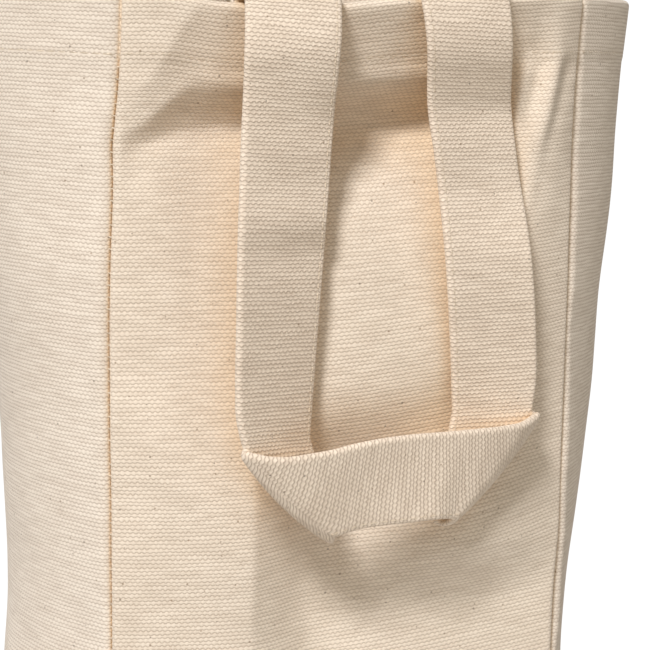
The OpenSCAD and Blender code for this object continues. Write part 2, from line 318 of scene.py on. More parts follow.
def wall_outline(side, z):
    """Outer face of a wall at heights z with both of its folded ends, and the way each point is drawn in."""
    start, end = wall_ends(side, z)
    run = 1.0 * (1 - risen(z, 309, 4)) + 0.05
    first_mitre, _, first = seam_mitre(side, z)
    last_mitre, last, _ = seam_mitre(side + 1, z)
    a, a_in, a_back = folded_end(start, first, first_mitre, -left_of(first), run)
    b, b_in, b_back = folded_end(end, last, last_mitre, left_of(last), run)
    half = np.linalg.norm(end - start, axis=1)[:, None] / 2
    t = np.linspace(0, 1, MAIN_COLUMNS)
    t = 0.7 * t + 0.3 * (1 - np.cos(np.pi * t)) / 2
    main = wall_line(side, z, (-1 + a_back / half) * (1 - t) + (1 - b_back / half) * t)
    main_in = left_of(unit(np.gradient(main, axis=1)))
    # the straight folds meet the curved wall without a step
    for fold, edge in ((a, main[:, 0]), (b, main[:, -1])):
        fold += (edge - fold[:, 0])[:, None] * np.linspace(1, 0, ARC_COLUMNS + 1)[None, :, None]
    points = np.concatenate([a[:, :0:-1], main, b[:, 1:]], 1)
    return points, np.concatenate([a_in[:, :0:-1], main_in, b_in[:, 1:]], 1)


# How far the rim dips below its slant along the front, by the share across it
FRONT_DIP = [(-1, 0.2), (-0.8, 0), (-0.62, -1.6), (-0.5, -2.0), (-0.36, -2.0), (-0.12, -1.9), (0.03, -1.0),
             (0.2, -0.5), (0.4, -0.2), (0.6, 0), (1, 0)]
CORNER_LIFTS = (0.8, 6.0, 5.0, 0.5)


def lift(side, u, z):
    """The bag hangs a little askew: it rises to the front right, and its rim dips at the left strap."""
    u = np.clip(u, -1, 1)
    start, end = CORNER_LIFTS[side], CORNER_LIFTS[(side + 1) % 4]
    slant = start + (end - start) * (u + 1) / 2 if side == 0 else eased(start, end, (u + 1) / 2)
    rise = slant * risen(z, 40, 190)
    if side == 0:
        rise = rise + drawn_through(u, FRONT_DIP) * risen(z, 285, 34)
    return rise


# Shares across each wall of the points that run round the rim
ROUND = np.linspace(-1, 1, 61)[:-1]


def lift_round(z):
    return np.concatenate([lift(side, ROUND, z) for side in range(4)])


def wall_rows():
    """Heights, and how far the cloth is drawn in, of a wall's rows from its lower to its upper roll."""
    bottom = np.linspace(np.pi / 2, 0, 6)[:-1]
    top = np.linspace(0, np.pi / 2, 8)[1:]
    straight = np.unique(np.concatenate([np.linspace(*part) for part in (
        (FOLD_R, 60, 24), (60, 150, 30), (150, 290, 90), (290, 312, 22), (312, 319, 15), (319, RIM_Z, 8))]))
    z = np.concatenate([FOLD_R - FOLD_R * np.sin(bottom), straight, RIM_Z + ROLL_R * np.sin(top)])
    drawn = np.concatenate([FOLD_R - FOLD_R * np.cos(bottom), 0 * straight, ROLL_R - ROLL_R * np.cos(top)])
    return z, drawn


# Meshes

def add_object(name, data):
    thing = bpy.data.objects.new(name, data)
    bpy.context.scene.collection.objects.link(thing)
    return thing


def make_piece(name, points, faces, uv, material):
    """Mesh of quads from points in millimetres, with cloth co-ordinates in metres, turned outwards."""
    points = points.reshape(-1, 3) * MM
    volume = 0.0
    for half in ([0, 1, 2], [0, 2, 3]):
        p = points[faces[:, half]]
        volume += np.sum(p[:, 0] * np.cross(p[:, 1], p[:, 2]))
    if volume < 0:
        faces, uv = faces[:, ::-1], uv[:, ::-1]
    mesh = bpy.data.meshes.new(name)
    mesh.from_pydata(points.tolist(), [], faces.tolist())
    mesh.uv_layers.new(name="cloth").data.foreach_set("uv", (uv * MM).ravel())
    mesh.polygons.foreach_set("use_smooth", [True] * len(faces))
    mesh.set_sharp_from_angle(angle=math.radians(50))
    mesh.materials.append(material)
    mesh.update()
    return add_object(name, mesh)


def cloth_shell(name, outer, inner, place, material):
    """Closed piece of cloth between the grid of its outer face and the grid of its inner face."""
    rows, columns = outer.shape[:2]
    n = rows * columns
    index = np.arange(n).reshape(rows, columns)
    face = np.stack([index[:-1, :-1], index[:-1, 1:], index[1:, 1:], index[1:, :-1]], -1).reshape(-1, 4)
    border = np.concatenate([index[0, :], index[1:, -1], index[-1, -2::-1], index[-2::-1, 0]])
    edge = np.stack([border[1:], border[:-1], border[:-1] + n, border[1:] + n], -1)
    faces = np.concatenate([face, face[:, ::-1] + n, edge])
    return make_piece(name, np.stack([outer, inner]), faces, place.reshape(-1, 2)[faces % n], material)


def tube(name, rings, place, material, girth, ring_shaped=False):
    """Closed piece skinned over rings of points; place holds each point's cloth co-ordinates."""
    count, around = rings.shape[:2]
    index = np.arange(count * around).reshape(count, around)
    beside = np.roll(index, -1, 1)
    faces = np.stack([index, beside, np.roll(beside, -1, 0), np.roll(index, -1, 0)], -1)
    uv = place.reshape(-1, 2)[faces]
    uv[:, -1, 1:3] += (girth, 0)
    if not ring_shaped:
        i = np.arange(around // 2 - 1)
        cap = np.stack([i, i + 1, around - 2 - i, around - 1 - i], -1)
        caps = np.concatenate([index[0][cap], index[-1][cap][:, ::-1]])
        faces = np.concatenate([faces[:-1].reshape(-1, 4), caps])
        uv = np.concatenate([uv[:-1].reshape(-1, 4, 2), place.reshape(-1, 2)[caps]])
    return make_piece(name, rings, faces.reshape(-1, 4), uv.reshape(-1, 4, 2), material)


# Walls, hem, base and seams

def grain_slope(side, x, z):
    """How steeply a wall's weft rises to the right against the level, where the cloth is drawn askew."""
    if side:
        return 0 * x
    return math.tan(math.radians(8)) * risen(x, -25, 40) * (1 - 0.6 * risen(z, 210, 70))


def make_wall(side, name, material):
    z, drawn = wall_rows()
    section = np.clip(z, FOLD_R, RIM_Z)
    points, way = wall_outline(side, section)
    xy = points + way * drawn[:, None, None]
    start, end = wall_ends(side, section)
    chord = end - start
    from_middle = xy - ((start + end) / 2)[:, None]
    u = 2 * np.sum(from_middle * chord[:, None], -1) / np.sum(chord * chord, -1)[:, None]
    height = z[:, None] + lift(side, u, np.broadcast_to(z[:, None], u.shape))
    grid = at_height(xy, height)
    normals = unit(np.cross(np.gradient(grid, axis=1), np.gradient(grid, axis=0)))
    # cloth co-ordinates: lengths across from the wall's middle, and up from its foot
    across = arc_length(grid, 1)
    across = across - across[:, grid.shape[1] // 2][:, None]
    up = np.mean(arc_length(grid, 0), axis=1)[:, None]
    askew = np.cumsum(grain_slope(side, across, height) * np.gradient(across, axis=1), axis=1)
    return cloth_shell(name, grid, grid - CLOTH_T * normals, np.stack([across, up - askew], -1), material)


def inward_of(path):
    """Inward directions of a closed path."""
    return left_of(unit(np.roll(path, -1, 0) - np.roll(path, 1, 0)))


def hem_path(z):
    """Closed path round all four walls at height z, with its inward directions."""
    path = np.concatenate([wall_line(side, np.array([z]), ROUND)[0] for side in range(4)])
    # the stiff rim runs round the corners in one sweep
    for _ in range(6):
        path = (np.roll(path, 1, 0) + 2 * path + np.roll(path, -1, 0)) / 4
    return path, inward_of(path)


def make_hem(material):
    """The turned part of the hem; its outline holds (drawn in from the outer face, height)."""
    arc = np.linspace(np.pi / 2, np.pi, 9)
    points = [(ROLL_R - ROLL_R * np.cos(a), RIM_Z + ROLL_R * np.sin(a)) for a in arc]
    points += [(HEM_IN, z) for z in np.linspace(RIM_Z - 1, STITCH_Z + 1.2, 6)]
    points += [(HEM_IN - 0.22, STITCH_Z), (HEM_IN, STITCH_Z - 0.8), (HEM_IN - 0.1, HEM_FOOT + 0.35),
               (HEM_IN - 0.45, HEM_FOOT), (1.55, HEM_FOOT), (1.12, HEM_FOOT + 0.4)]
    points += [(1.06, z) for z in np.linspace(HEM_FOOT + 1.5, RIM_Z - 0.2, 7)]
    profile = np.array(points + [(1.25, BAG_H - 1.32), (ROLL_R, BAG_H - CLOTH_T - 0.04)])
    length = line_length(closed(hem_path(RIM_Z)[0]))
    rings = []
    for d, z in profile:
        path, way = hem_path(min(z, RIM_Z))
        rings.append(at_height(path + way * d, z + lift_round(z)))
    place = pairs(length[None, :-1], -line_length(profile)[:, None])
    return tube("rim_hem_turned", np.array(rings), place, material, length[-1], ring_shaped=True)


def make_base(material):
    """Flat base cloth that the bag stands on, its edges turned down a little by the seam round it."""
    x = np.concatenate([[-62.2, -61.9], np.linspace(-61, 61, 46), [61.9, 62.2]])
    y = np.concatenate([[-48.7, -48.4], np.linspace(-47.5, 47.5, 36), [48.4, 48.7]])
    gx, gy = np.meshgrid(x, y)
    rim = np.minimum(x[-1] - np.abs(gx), y[-1] - np.abs(gy))
    edge = 0.3 * (1 - np.clip(rim / 0.4, 0, 1))
    puff = 0.12 * ripple(gx, gy, 51, 20, 45) * np.clip(rim / 12, 0, 1)
    top = np.stack([gx, gy, CLOTH_T - edge + np.maximum(puff, -0.2)], -1)
    return cloth_shell("base_cloth", top, np.stack([gx, gy, edge], -1), np.stack([gx, gy], -1), material)


def base_seam_path(step):
    """Of the seam round the base: closed path, inward directions, lengths along it, girth, lean."""
    half_x, half_y, radius = 61.6, 47.6, 4.0
    points = []
    for cx, cy, start in ((1, -1, -90), (1, 1, 0), (-1, 1, 90), (-1, -1, 180)):
        for a in np.radians(np.linspace(start, start + 90, 8)):
            points.append((cx * (half_x - radius) + radius * np.cos(a),
                           cy * (half_y - radius) + radius * np.sin(a)))
    points = closed(np.array(points))
    length = line_length(points)
    at = np.linspace(0, length[-1], int(length[-1] / step) + 1)[:-1]
    path = np.stack([np.interp(at, length, points[:, k]) for k in (0, 1)], -1)
    return path, inward_of(path), at, length[-1], 0.5 * ripple(at, 0 * at, 61, 18, 50)


def make_base_seam(material):
    """Allowances of walls and base, sewn together and standing up inside the foot of the bag."""
    path, way, at, girth, lean = base_seam_path(2.0)
    foot, top = BASE_SEAM_FOOT, BASE_SEAM_TOP
    outline = [(0, foot), (0, 4), (0.1, top - 0.5), (0.35, top), (0.85, top - 0.1), (1.0, top - 0.6),
               (1.15, top - 0.1), (1.65, top), (1.9, top - 0.5), (2.0, 4), (2.0, foot), (1.0, foot)]
    rings = []
    for d, z in outline:
        shift = d + np.maximum(lean * (z - foot) / BASE_SEAM_H, -0.2)
        rings.append(at_height(path + way * shift[:, None], z))
    place = pairs(at[None, :], line_length(outline)[:, None])
    return tube("base_seam_allowance", np.array(rings), place, material, girth, ring_shaped=True)


def fin_rows(corner, count):
    """Root, inward and sideways directions of a corner seam's allowance, from its foot to the hem."""
    z = np.linspace(BASE_SEAM_TOP + 0.3, HEM_FOOT - 0.2, count)
    mitre, into, _ = seam_mitre(corner, z)
    root = corners(z)[corner] + mitre * (fold_back(into, mitre)[1] + 1.06)
    lean = 0.14 * ripple(z, 0 * z, 70 + corner, 40, 110)
    inward = unit(mitre + left_of(mitre) * lean[:, None])
    return z + lift(corner, -1.0, z), root, inward, left_of(inward)


def make_fin(corner, name, material):
    """Two cloths sewn and pressed together, standing in from a corner, their raw edges side by side."""
    z, root, inward, side = fin_rows(corner, 110)
    half = [(0, 1.0), (1.5, 0.92), (3.2, 0.82), (5.2, 0.95), (FIN_DEEP - 0.4, 1.0), (FIN_DEEP, 0.7),
            (FIN_DEEP - 0.1, 0.2)]
    section = half + [(FIN_DEEP - 0.5, 0)] + [(a, -b) for a, b in half[::-1]] + [(0, 0)]
    ring = np.array([root + inward * a + side * b for a, b in section]).transpose(1, 0, 2)
    around = line_length(section)
    place = pairs(around[None, :], z[:, None])
    return tube(name, at_height(ring, z[:, None]), place, material, around[-1] + 1)


# Handle straps

# Edges of the two legs, from the hinge at the rim, share 0, to the fold into the grip, share 1:
# share, across, forward of the hinge
LEFT_OUTER = [(0, -33.4, -0.9), (0.09, -33.2, 0.4), (0.155, -33.6, 2), (0.245, -34.2, 4),
              (0.31, -34.7, 5.5), (0.44, -35.3, 8), (0.56, -35.7, 10), (0.72, -36.0, 12.3),
              (0.88, -36.2, 14.4), (0.93, -36.0, 15), (0.965, -35.2, 15.3), (1, -34.0, 15.5)]
LEFT_INNER = [(0, -8.7, 0.1), (0.09, -8.4, 0.6), (0.155, -8.9, 0.9), (0.245, -9.8, 1.3), (0.31, -10.2, 1.6),
              (0.44, -10.8, 2.1), (0.56, -11.5, 2.7), (0.72, -12.4, 3.3), (0.81, -12.9, 3.7),
              (0.93, -13.5, 4.2), (1, -13.9, 4.5)]
RIGHT_INNER = [(0, 11.9, 0.1), (0.105, 14.1, 0.6), (0.25, 15.2, 1.3), (0.355, 17.2, 1.8), (0.535, 20.1, 2.5),
               (0.81, 23.2, 3.7), (0.97, 24.5, 4.3), (1, 24.7, 4.5)]
RIGHT_OUTER = [(0, 36.6, -2.0), (0.09, 38.3, -2.4), (0.24, 39.5, -2.2), (0.395, 41.9, -1.2),
               (0.55, 44.7, 0.6), (0.81, 47.6, 3.0), (0.93, 48.0, 3.9), (1, 47.2, 4.3)]
# Soft waves of the legs: distance below the hinge, forward at the outer and at the inner edge
LEFT_WAVES = [(0, 0, 0), (4, 1.5, 1.5), (10, 3.0, 3.0), (13, 3.1, 2.9), (20, 1.4, 0.8), (30, 0.4, -2.8),
              (38, 0.3, -2.6), (46, 0.4, -2.4), (55, 2.0, -0.4), (62, 1.5, -1.9), (69, 1.7, -0.6),
              (85, 0.6, -0.2), (96, 0, 0), (120, 0, 0)]
RIGHT_WAVES = [(0, 0, 0), (4, 1.5, 1.7), (10, 2.5, 3.3), (13, 2.1, 3.2), (19, -0.8, 1.2), (25, -3.4, -0.5),
               (34, -2.6, -0.3), (46, -1.9, 0), (54, 0, 1.4), (62, 2.0, 2.7), (70, 1.8, 2.5), (84, 0.5, 1.0),
               (98, 0, 0), (120, 0, 0)]
# Of each leg: its two edges, its length, its ear at the grip, how far the ear tucks in, its waves
LEGS = [(LEFT_OUTER, LEFT_INNER, 109.4, np.array([-6.4, 8.0, -134.2]), 3.4, LEFT_WAVES),
        (RIGHT_OUTER, RIGHT_INNER, 103.2, np.array([18.7, 10.0, -130.9]), 3.6, RIGHT_WAVES)]
GRIP_TOP = [(-31.0, 18.6, -110.5), (-26.9, 19, -111.0), (-23.3, 19.2, -111.0), (-18.7, 19.3, -110.4),
            (-13.0, 19.2, -109.6), (-6.0, 19, -108.1), (0.4, 18.5, -107.1), (8.8, 17.7, -106.4),
            (18.8, 16.5, -106.1), (26.9, 15.1, -105.9), (35.4, 13.0, -105.7), (42.6, 10.3, -105.2)]
GRIP_FOOT = [(-2.9, 13.1, -131.4), (4.3, 14.2, -130.3), (11.2, 15.0, -129.6), (17.5, 15.4, -129.0)]
FOLD_RADII = (1.3, 2.2)          # of the diagonal folds, at the strap's outer edge and at its inner edge
FOLD_TURN = math.radians(150)
FOLD_BULGE = 1.7                 # how far the soft folds swell beyond straight lines
WAVE_DRIFT = 0.33                # how far a wave shifts the leg across for each mm that it comes forward
LEG_ROWS, FAN_ROWS, FOLD_ROWS, GRIP_ROWS = 75, 11, 15, 70
END_ROWS = 22 + 5                # rulings of a sewn end, all that go over the rim and five of its leg


def fold_ways(corner, ear):
    """Directions of a diagonal fold: along it, out of the strap below it, and forward."""
    along = unit(ear - corner)
    down = unit(np.array([0, 0, -1.0]) + along * along[2])
    front = np.cross(down, along)
    return along, down, front * np.sign(front[1])


def mitre_fold(corner, ear, tuck):
    """Rulings of the strap's diagonal fold, turning forward from (corner, ear)."""
    along, down, front = fold_ways(corner, ear)
    rows = []
    for turn in np.linspace(0, FOLD_TURN, FOLD_ROWS):
        way = np.sin(turn) * down + (1 - np.cos(turn)) * front
        back = -tuck * along * ((1 - np.cos(turn)) / 2) ** 1.5
        rows.append((corner + FOLD_RADII[0] * way, ear + FOLD_RADII[1] * way + back))
    return rows


def leg_rows(outer, inner, drop, waves, rim):
    """Rulings of a leg with its soft waves; they keep to the leg's outline as the photograph shows it."""
    rows = []
    for s in np.linspace(0, 1, LEG_ROWS + 1)[1:]:
        swing = drawn_through(np.array(drop * s), waves)
        up = 1 - risen(s, 0, 0.24)
        edges = zip((drawn_through(s, outer), drawn_through(s, inner)), swing)
        rows.append(tuple((x - WAVE_DRIFT * w, f + w, -drop * s + up * rim(x)) for (x, f), w in edges))
    return rows


def over_rim_rows(tops, face, rim):
    """Rulings from the sewn end inside the hem, up and over the rim to the two edges' tops."""
    half = STRAP_T / 2
    within = HEM_IN + 0.15 + half
    low = HEM_FOOT + STRAP_T - HINGE_Z
    bend, over = 1.6, 0.9
    path = [(-1, u) for u in np.linspace(low, over - bend, 10)]
    for a in np.linspace(0.2, np.pi / 2, 6):
        path.append((-1 + 0.5 * (1 - math.cos(a)), over - bend + bend * math.sin(a)))
    for a in np.linspace(0.3, np.pi / 2, 6):
        path.append((-0.5 + 0.5 * math.sin(a), over * math.cos(a)))
    rows = []
    for share, u in path:
        ends = []
        for _, x, forward in tops:
            start, reach = face(x, HINGE_Z + u) - within, max(forward, face(x) + half + 0.1)
            ends.append((x, reach + (reach - start) * share, u + rim(x)))
        rows.append(tuple(ends))
    return rows


def grip_rows(first, last):
    """Rulings of the grip, from the left fold's last ruling to the right fold's."""
    top = np.array([first[0], *GRIP_TOP, last[0]])
    foot = np.array([first[1], *GRIP_FOOT, last[1]])
    top_at, foot_at = line_length(top), line_length(foot)
    rulings = []
    for k in range(1, GRIP_ROWS):
        along = k / GRIP_ROWS * top_at[-1]
        t = np.clip((along - STRAP_W) / (top_at[-1] - 2 * STRAP_W), 0, 1)
        rulings.append((drawn_through(along, np.column_stack([top_at, top])),
                        drawn_through(t * foot_at[-1], np.column_stack([foot_at, foot]))))
    return rulings


def strap_rulings(face, rim):
    """All rulings of a handle's strap from its left to its right sewn end, [outer edge, inner edge],
    and how far and which way the soft folds bulge at each."""
    groups, bulges = [], []
    for outer, inner, drop, ear, tuck, waves in LEGS:
        rows = over_rim_rows((outer[0], inner[0]), face, rim) + leg_rows(outer, inner, drop, waves, rim)
        strength = np.concatenate([np.zeros(len(rows)), np.linspace(0, 0.7, FAN_ROWS),
                                   0.7 + 0.3 * np.sin(np.linspace(0, np.pi, FOLD_ROWS))])
        corner, last = np.array(rows[-1][0]), np.array(rows[-1][1])
        rows += [(corner, last + (ear - last) * k / (FAN_ROWS + 1)) for k in range(1, FAN_ROWS + 1)]
        rows += mitre_fold(corner, ear, tuck)
        groups.append(rows)
        bulges.append(strength[:, None] * fold_ways(corner, ear)[1])
    fade = 0.7 * (1 - risen(np.arange(1, GRIP_ROWS), 0, 22))[:, None]
    between = fade * unit(bulges[0][-1]) + fade[::-1] * unit(bulges[1][-1])
    rows = [*groups[0], *grip_rows(groups[0][-1], groups[1][-1]), *groups[1][::-1]]
    bulge = FOLD_BULGE * np.concatenate([bulges[0], between, bulges[1][::-1]])
    return np.array([[np.array(a, float), np.array(b, float)] for a, b in rows]), bulge


def strap_frames(turned):
    """Of each ruling of a strap: middle, way across, width, normal, bulge, and length along both edges."""
    rulings, bulge = strap_rulings(*rim_line(turned))
    middle = rulings.mean(1)
    across = rulings[:, 1] - rulings[:, 0]
    normal = unit(np.cross(np.gradient(middle, axis=0), across))
    for _ in range(2):
        normal[1:-1] = (normal[:-2] + 2 * normal[1:-1] + normal[2:]) / 4
    outer, inner = line_length(rulings[:, 0]), line_length(rulings[:, 1])
    return middle, unit(across), np.linalg.norm(across, axis=1), unit(normal), bulge, outer, inner


def on_strap(frames, x, height):
    """Points of the strap at x across it (mm from its middle) and at a height off its middle surface."""
    middle, across, width, normal, bulge, _, _ = frames
    return (middle + across * (x * width / STRAP_W)[:, None] + normal * height
            + bulge * (1 - (2 * x / STRAP_W) ** 2))


def strap_ring():
    """Outline of a pressed strap of four cloths, stitched near its inner edge: (place across, height)."""
    half, thick = STRAP_W / 2, STRAP_T / 2
    flat = half - thick
    front = []
    for x in np.linspace(-flat, flat, 45):
        front.append((x, thick - 0.1 * bell(half - x, TOPSTITCH_IN, 0.35) + 0.07 * (1 - (x / half) ** 2)))
    turns = np.linspace(math.pi / 2, -math.pi / 2, 9)[1:-1]
    edge = [(flat + thick * math.cos(turn), thick * math.sin(turn)) for turn in turns]
    return np.array(front + edge + [(x, -h) for x, h in front[::-1]] + [(-x, h) for x, h in edge][::-1])


def handle_point(p, turned):
    """From across, forward and up at the hinge to the bag's frame; turned is the back handle."""
    sign = -1 if turned else 1
    return np.stack([sign * p[..., 0], sign * (-HINGE_OUT - p[..., 1]), HINGE_Z + p[..., 2]], -1)


def rim_line(turned):
    """Functions at a handle: how far forward of the hinge the hem's outer face lies, and the rim's lift."""
    side = 2 if turned else 0
    levels = np.linspace(HEM_FOOT, RIM_Z, 8)
    lines = wall_line(side, levels, np.linspace(-0.8, 0.8, 81)) * (-1 if turned else 1)
    half = PANEL_W / 2 - 1

    def face(x, z=BAG_H):
        depths = [float(np.interp(x, *line.T)) for line in lines]
        return -float(np.interp(z, levels, depths)) - HINGE_OUT

    def rim(x):
        return float(lift(side, x / half, BAG_H))
    return face, rim


def bend_plane(frames, rows, turned):
    """Start and end of the bend between the sewn end, that stays, and the leg, that swings."""
    edges = [on_strap(frames, x, 0)[rows] for x in (-STRAP_W / 2, STRAP_W / 2)]
    sewn = np.array([e[:8].mean(0) for e in edges])
    leg = np.array([e[-1] for e in edges])
    dx = sewn[1, 0] - sewn[0, 0]
    slope = ((sewn[1, 1] - sewn[0, 1]) + (leg[1, 1] - leg[0, 1])) / (2 * dx)
    way = unit(np.array([-slope, 1.0, 0]))
    low = max(float(p @ way) for e in edges for p in e[:8]) + 0.9
    high = min(float(p @ way) for p in leg) - 1.2
    foot = np.array([sewn[:, 0].mean(), 0, 0])
    start, end = (foot + way * (t - float(foot @ way)) for t in (low, max(high, low + 1.0)))
    return [tuple(handle_point(p, turned) * MM) for p in (start, end)]


def strap_mesh(frames, rows, name, turned, material):
    """Piece of a strap over some of its rulings."""
    ring = strap_ring()
    around = line_length(closed(ring))
    at = np.stack([on_strap(frames, x, h) for x, h in ring], 1)
    outer, inner = frames[-2:]
    share = (ring[:, 0] / STRAP_W + 0.5)[None, :]
    along = outer[:, None] * (1 - share) + inner[:, None] * share
    # lengths count from both sewn ends, so that the weave lies square on both legs
    spare = (outer[-1] + inner[-1]) / 2 - (outer[-1] * (1 - share) + inner[-1] * share)
    ends = len(outer) // 2 - GRIP_ROWS // 2
    along = along + spare * risen(np.arange(len(outer)), ends, GRIP_ROWS)[:, None]
    place = pairs(around[None, :-1], along)
    return tube(name, handle_point(at[rows], turned), place[rows], material, around[-1])


# Node trees

def reckon(operation, turned=False):
    """What an operator does with a wire: it puts in a math node."""
    return lambda one, other: one.nodes.math(operation, *((other, one) if turned else (one, other)))


class Wire:
    """A value in a tree of nodes, that can be reckoned with like a number."""

    def __init__(self, nodes, socket):
        self.nodes = nodes
        self.socket = socket

    __add__, __radd__ = reckon("ADD"), reckon("ADD", True)
    __sub__, __rsub__ = reckon("SUBTRACT"), reckon("SUBTRACT", True)
    __mul__, __truediv__ = reckon("MULTIPLY"), reckon("DIVIDE")


class Nodes:
    """Short words for building a tree of nodes."""

    def __init__(self, tree):
        self.tree = tree

    def put(self, socket, value):
        if isinstance(value, Wire):
            self.tree.links.new(value.socket, socket)
        else:
            socket.default_value = value

    def new(self, kind, values=(), **settings):
        """New node with its settings, and with values or wires at its inputs, in turn or by name."""
        node = self.tree.nodes.new(kind)
        for key, value in settings.items():
            setattr(node, key, value)
        for key, value in values.items() if isinstance(values, dict) else enumerate(values):
            self.put(node.inputs[key], value)
        return node

    def get(self, output, kind, values=(), **settings):
        """Wire from an output of a new node."""
        return Wire(self, self.new(kind, values, **settings).outputs[output])

    def math(self, operation, *values, clamp=False):
        return self.get(0, "ShaderNodeMath", values, operation=operation, use_clamp=clamp)

    def vector(self, operation, *values):
        return self.get("Vector", "ShaderNodeVectorMath", values, operation=operation)

    def join(self, x, y, z=0.0):
        return self.get(0, "ShaderNodeCombineXYZ", (x, y, z))

    def split(self, value):
        return [Wire(self, s) for s in self.new("ShaderNodeSeparateXYZ", [value]).outputs]

    def noise(self, place, scale, detail=2.0, roughness=0.5):
        return self.get("Fac", "ShaderNodeTexNoise", {"Vector": place, "Scale": scale, "Detail": detail,
                                                      "Roughness": roughness})

    def ramp(self, value, low, high):
        return self.get("Result", "ShaderNodeMapRange", (value, low, high), interpolation_type="SMOOTHSTEP")

    def mix(self, share, a, b):
        return self.get(2, "ShaderNodeMix", {0: share, 6: a, 7: b}, data_type="RGBA")


def node_group(name, kind, inputs, outputs):
    """New node group; returns it with its builder, its inputs' wires and its output sockets."""
    group = bpy.data.node_groups.new(name, kind)
    for label, socket_type, *value in inputs:
        socket = group.interface.new_socket(label, in_out="INPUT", socket_type="NodeSocket" + socket_type)
        if value:
            socket.default_value = value[0]
    for label, socket_type in outputs:
        group.interface.new_socket(label, in_out="OUTPUT", socket_type="NodeSocket" + socket_type)
    t = Nodes(group)
    given = {s.name: Wire(t, s) for s in t.new("NodeGroupInput").outputs}
    return group, t, given, t.new("NodeGroupOutput").inputs


# Stitches

def stitch_tree():
    """Geometry Nodes: one sewn stitch, a thread that dips in at both ends, on every point given."""
    tree, t, given, out = node_group(
        "sewn_stitches", "GeometryNodeTree",
        [("Geometry", "Geometry"), ("Stitch Length", "Float", 0.0028), ("Thread Width", "Float", 0.0005),
         ("Unevenness", "Float", 0.12), ("Seed", "Int", 3), ("Thread", "Material")],
        [("Geometry", "Geometry")])
    tree.is_modifier = True
    ball = t.get("Mesh", "GeometryNodeMeshIcoSphere", {"Radius": 0.5, "Subdivisions": 2})
    size = t.join(given["Stitch Length"], given["Thread Width"], given["Thread Width"])
    shaped = t.get("Geometry", "GeometryNodeTransform", {"Geometry": ball, "Scale": size})
    smooth = t.get("Geometry", "GeometryNodeSetShadeSmooth", {"Geometry": shaped})
    along, outward = (t.get("Attribute", "GeometryNodeInputNamedAttribute", {"Name": name},
                            data_type="FLOAT_VECTOR") for name in ("along", "outward"))
    turn = t.get("Rotation", "FunctionNodeAlignRotationToVector", {"Vector": along}, axis="X")
    turn = t.get("Rotation", "FunctionNodeAlignRotationToVector", {"Rotation": turn, "Vector": outward},
                 axis="Z", pivot_axis="X")
    uneven = t.get("Value", "FunctionNodeRandomValue", {
        "Min": 1 - given["Unevenness"], "Max": 1 + given["Unevenness"], "Seed": given["Seed"]})
    copies = t.get("Instances", "GeometryNodeInstanceOnPoints", {
        "Points": given["Geometry"], "Instance": smooth, "Rotation": turn, "Scale": uneven})
    real = t.get("Geometry", "GeometryNodeRealizeInstances", {"Geometry": copies})
    sewn = t.get("Geometry", "GeometryNodeSetMaterial", {"Geometry": real, "Material": given["Thread"]})
    t.put(out["Geometry"], sewn)
    return tree


def sew(name, rows, length, width):
    """Stitches on every row of (place, along, outward), in millimetres, as one plain mesh."""
    place, along, outward = (np.concatenate([np.asarray(r[k], float) for r in rows]) for k in range(3))
    mesh = bpy.data.meshes.new(name)
    mesh.from_pydata((place * MM).tolist(), [], [])
    for key, values in (("along", along), ("outward", outward)):
        column = mesh.attributes.new(key, "FLOAT_VECTOR", "POINT")
        column.data.foreach_set("vector", values.astype(np.float32).ravel())
    piece = add_object(name, mesh)
    sewing = piece.modifiers.new("sewing", "NODES")
    sewing.node_group = stitching
    sockets = {s.name: s.identifier for s in stitching.interface.items_tree if s.in_out == "INPUT"}
    for key, value in (("Stitch Length", length * MM), ("Thread Width", width * MM), ("Seed", 3),
                       ("Thread", thread)):
        sewing[sockets[key]] = value
    bpy.context.view_layer.update()
    sewn = bpy.data.meshes.new_from_object(piece.evaluated_get(bpy.context.evaluated_depsgraph_get()))
    piece.modifiers.remove(sewing)
    piece.data = sewn
    sewn.name = name
    return piece


def stitched_line(points, normals, pitch, raised=0.0):
    """Stitch places every pitch along a polyline, with their directions."""
    points, normals = np.asarray(points, float), np.asarray(normals, float)
    length = line_length(points)
    at = np.arange(pitch / 2, length[-1], pitch)
    place, facing, along = (np.stack([np.interp(at, length, values[:, k]) for k in range(3)], -1)
                            for values in (points, normals, np.gradient(points, axis=0)))
    facing = unit(facing)
    return place + facing * raised, unit(along), facing


def hem_stitches():
    """The hem's row of stitches, outside on the four walls and inside round the turned hem."""
    pitch, sunk, proud = 3.1, -0.02, 0.06
    rows = []
    u = np.linspace(-0.985, 0.985, 90)
    for side in range(4):
        line = wall_line(side, np.array([STITCH_Z]), u)[0]
        out = -left_of(unit(np.gradient(line, axis=0)))
        height = STITCH_Z + lift(side, u, STITCH_Z)
        rows.append(stitched_line(at_height(line, height), at_height(out), pitch, sunk))
    path, way = hem_path(STITCH_Z)
    loop = at_height(path + way * (HEM_IN - 0.2), STITCH_Z + lift_round(STITCH_Z))
    rows.append(stitched_line(closed(loop), closed(at_height(way)), pitch, proud))
    return rows


def seam_stitches():
    """Threads that cross the groove of each corner seam, drawn deep between the two cloths."""
    rows = []
    for corner in range(4):
        z = np.arange(12, BAG_H - 5, 3.0)
        mitre, into, _ = seam_mitre(corner, z)
        place = corners(z)[corner] + mitre * (fold_back(into, mitre)[1] * 0.82)
        across = unit(at_height(left_of(mitre), 0.35))
        rows.append((at_height(place, z + lift(corner, -1.0, z)), across, at_height(-mitre)))
    return rows


